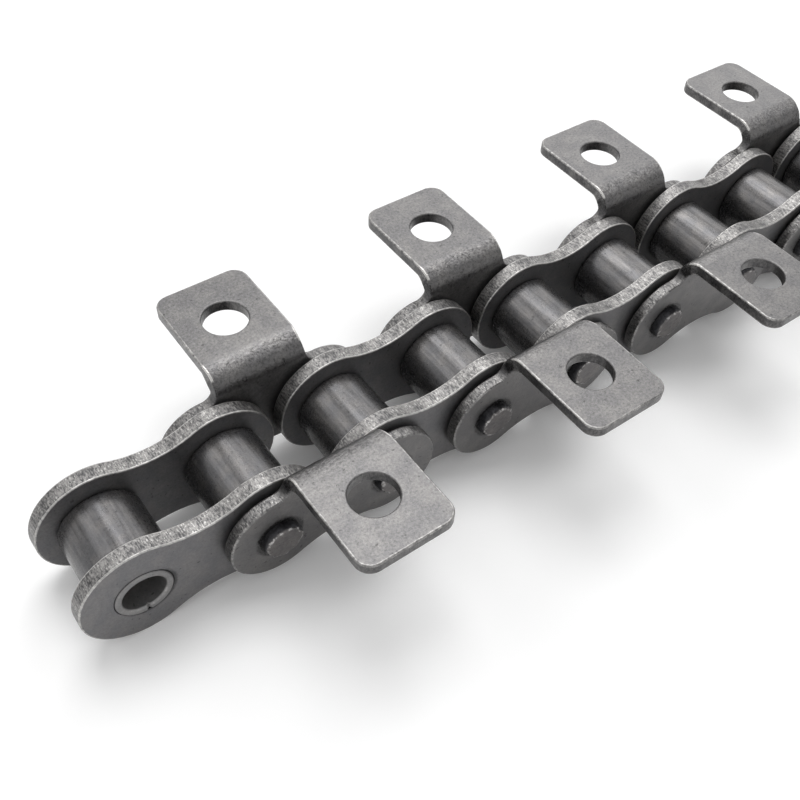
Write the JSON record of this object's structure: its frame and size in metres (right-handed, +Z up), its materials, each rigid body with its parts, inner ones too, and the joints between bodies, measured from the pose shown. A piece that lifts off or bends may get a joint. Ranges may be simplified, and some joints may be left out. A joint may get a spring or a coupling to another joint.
{
  "type": "conveyor chain",
  "caption": "Single-row roller chain strand with a bent, drilled attachment tab on both sides of every outer link, for carrying slats or flights between sprockets.",
  "frame": {"origin": "under the middle of the strand, halfway between its end joints, level with the lowest edge of the inner plates on which it lies", "axes": "+X along the straight strand, +Y along the pins, +Z up through the tabs"},
  "size_m": [0.1576, 0.0466, 0.0177],
  "materials": {
    "inner_plate": "blanked spring steel, hardened and dark oxide finished, sheared edges rubbed bright",
    "attachment_plate": "blanked and bent steel, hardened and dark oxide finished, grey mottled on the tab",
    "bushing": "curled strip steel, case hardened, dark",
    "roller": "case-hardened steel, smooth, dark, lightly oiled",
    "pin": "case-hardened steel with staked ends, dark"
  },
  "bodies": {
    "inner_link_1": {"inner_plate_1_front": "inner_plate", "inner_plate_1_back": "inner_plate", "bushing_01": "bushing", "bushing_02": "bushing"},
    "inner_link_2": {"inner_plate_2_front": "inner_plate", "inner_plate_2_back": "inner_plate", "bushing_03": "bushing", "bushing_04": "bushing"},
    "inner_link_3": {"inner_plate_3_front": "inner_plate", "inner_plate_3_back": "inner_plate", "bushing_05": "bushing", "bushing_06": "bushing"},
    "inner_link_4": {"inner_plate_4_front": "inner_plate", "inner_plate_4_back": "inner_plate", "bushing_07": "bushing", "bushing_08": "bushing"},
    "inner_link_5": {"inner_plate_5_front": "inner_plate", "inner_plate_5_back": "inner_plate", "bushing_09": "bushing", "bushing_10": "bushing"},
    "outer_link_1": {"attachment_plate_1_front": "attachment_plate", "attachment_plate_1_back": "attachment_plate", "pin_02": "pin", "pin_03": "pin"},
    "outer_link_2": {"attachment_plate_2_front": "attachment_plate", "attachment_plate_2_back": "attachment_plate", "pin_04": "pin", "pin_05": "pin"},
    "outer_link_3": {"attachment_plate_3_front": "attachment_plate", "attachment_plate_3_back": "attachment_plate", "pin_06": "pin", "pin_07": "pin"},
    "outer_link_4": {"attachment_plate_4_front": "attachment_plate", "attachment_plate_4_back": "attachment_plate", "pin_08": "pin", "pin_09": "pin"},
    "free_roller_01": {"roller_01": "roller"},
    "free_roller_02": {"roller_02": "roller"},
    "free_roller_03": {"roller_03": "roller"},
    "free_roller_04": {"roller_04": "roller"},
    "free_roller_05": {"roller_05": "roller"},
    "free_roller_06": {"roller_06": "roller"},
    "free_roller_07": {"roller_07": "roller"},
    "free_roller_08": {"roller_08": "roller"},
    "free_roller_09": {"roller_09": "roller"},
    "free_roller_10": {"roller_10": "roller"}
  },
  "joints": [
    {"name": "hinge_02", "type": "hinge", "parent": "outer_link_1", "child": "inner_link_1", "pos_m": [-0.05556, 0, 0.0074], "axis": [0, 1, 0], "range_deg": [-55, 55]},
    {"name": "hinge_03", "type": "hinge", "parent": "inner_link_2", "child": "outer_link_1", "pos_m": [-0.03969, 0, 0.0074], "axis": [0, 1, 0], "range_deg": [-55, 55]},
    {"name": "hinge_04", "type": "hinge", "parent": "outer_link_2", "child": "inner_link_2", "pos_m": [-0.02381, 0, 0.0074], "axis": [0, 1, 0], "range_deg": [-55, 55]},
    {"name": "hinge_05", "type": "hinge", "parent": "inner_link_3", "child": "outer_link_2", "pos_m": [-0.00794, 0, 0.0074], "axis": [0, 1, 0], "range_deg": [-55, 55]},
    {"name": "hinge_06", "type": "hinge", "parent": "inner_link_3", "child": "outer_link_3", "pos_m": [0.00794, 0, 0.0074], "axis": [0, 1, 0], "range_deg": [-55, 55]},
    {"name": "hinge_07", "type": "hinge", "parent": "outer_link_3", "child": "inner_link_4", "pos_m": [0.02381, 0, 0.0074], "axis": [0, 1, 0], "range_deg": [-55, 55]},
    {"name": "hinge_08", "type": "hinge", "parent": "inner_link_4", "child": "outer_link_4", "pos_m": [0.03969, 0, 0.0074], "axis": [0, 1, 0], "range_deg": [-55, 55]},
    {"name": "hinge_09", "type": "hinge", "parent": "outer_link_4", "child": "inner_link_5", "pos_m": [0.05556, 0, 0.0074], "axis": [0, 1, 0], "range_deg": [-55, 55]},
    {"name": "roller_spin_01", "type": "hinge", "parent": "inner_link_1", "child": "free_roller_01", "pos_m": [-0.07144, 0, 0.0074], "axis": [0, 1, 0], "continuous": true},
    {"name": "roller_spin_02", "type": "hinge", "parent": "inner_link_1", "child": "free_roller_02", "pos_m": [-0.05556, 0, 0.0074], "axis": [0, 1, 0], "continuous": true},
    {"name": "roller_spin_03", "type": "hinge", "parent": "inner_link_2", "child": "free_roller_03", "pos_m": [-0.03969, 0, 0.0074], "axis": [0, 1, 0], "continuous": true},
    {"name": "roller_spin_04", "type": "hinge", "parent": "inner_link_2", "child": "free_roller_04", "pos_m": [-0.02381, 0, 0.0074], "axis": [0, 1, 0], "continuous": true},
    {"name": "roller_spin_05", "type": "hinge", "parent": "inner_link_3", "child": "free_roller_05", "pos_m": [-0.00794, 0, 0.0074], "axis": [0, 1, 0], "continuous": true},
    {"name": "roller_spin_06", "type": "hinge", "parent": "inner_link_3", "child": "free_roller_06", "pos_m": [0.00794, 0, 0.0074], "axis": [0, 1, 0], "continuous": true},
    {"name": "roller_spin_07", "type": "hinge", "parent": "inner_link_4", "child": "free_roller_07", "pos_m": [0.02381, 0, 0.0074], "axis": [0, 1, 0], "continuous": true},
    {"name": "roller_spin_08", "type": "hinge", "parent": "inner_link_4", "child": "free_roller_08", "pos_m": [0.03969, 0, 0.0074], "axis": [0, 1, 0], "continuous": true},
    {"name": "roller_spin_09", "type": "hinge", "parent": "inner_link_5", "child": "free_roller_09", "pos_m": [0.05556, 0, 0.0074], "axis": [0, 1, 0], "continuous": true},
    {"name": "roller_spin_10", "type": "hinge", "parent": "inner_link_5", "child": "free_roller_10", "pos_m": [0.07144, 0, 0.0074], "axis": [0, 1, 0], "continuous": true}
  ]
}
